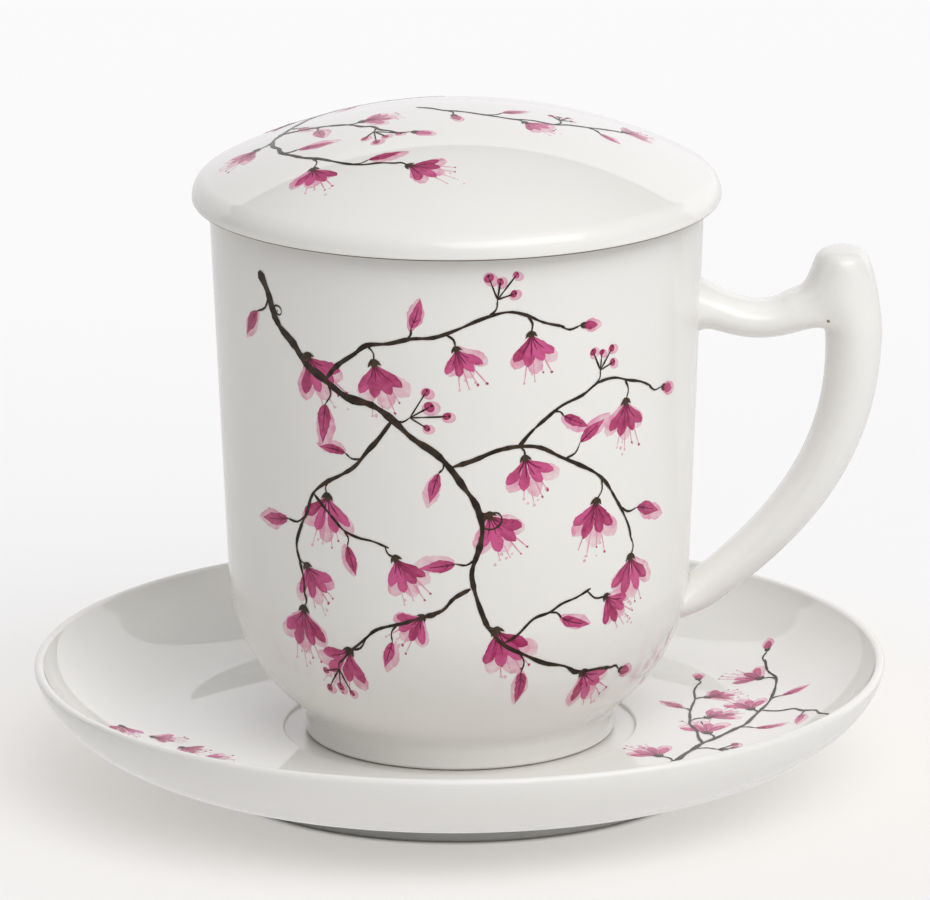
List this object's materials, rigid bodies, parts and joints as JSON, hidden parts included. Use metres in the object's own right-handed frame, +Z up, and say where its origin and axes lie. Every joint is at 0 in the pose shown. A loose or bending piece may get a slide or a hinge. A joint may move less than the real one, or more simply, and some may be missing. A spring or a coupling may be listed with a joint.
{
  "type": "lidded tea mug with infuser and saucer",
  "caption": "Tall glazed mug with a side handle, a lift-off domed lid, a steel strainer basket inside and a dished saucer under it.",
  "frame": {"origin": "centre of the saucer's foot ring, on the surface that it stands on", "axes": "+Z up along the axis of the mug, +X from the axis towards the handle, +Y to complete a right-handed frame"},
  "size_m": [0.15, 0.15, 0.12],
  "materials": {
    "porcelain": "clear gloss glaze over white porcelain",
    "stainless_steel": "fine satin stainless sheet"
  },
  "bodies": {
    "saucer": {"saucer": "porcelain"},
    "mug": {"mug_body": "porcelain", "mug_handle": "porcelain"},
    "infuser": {"infuser_rim": "stainless_steel", "infuser_basket": "stainless_steel", "infuser_base": "stainless_steel"},
    "lid": {"lid": "porcelain"}
  },
  "joints": [
    {"name": "mug_lift", "type": "slide", "parent": "saucer", "child": "mug", "axis": [0, 0, 1], "range_m": [0, 0.08]},
    {"name": "infuser_lift", "type": "slide", "parent": "mug", "child": "infuser", "axis": [0, 0, 1], "range_m": [0, 0.09]},
    {"name": "lid_lift", "type": "slide", "parent": "infuser", "child": "lid", "axis": [0, 0, 1], "range_m": [0, 0.06]}
  ]
}
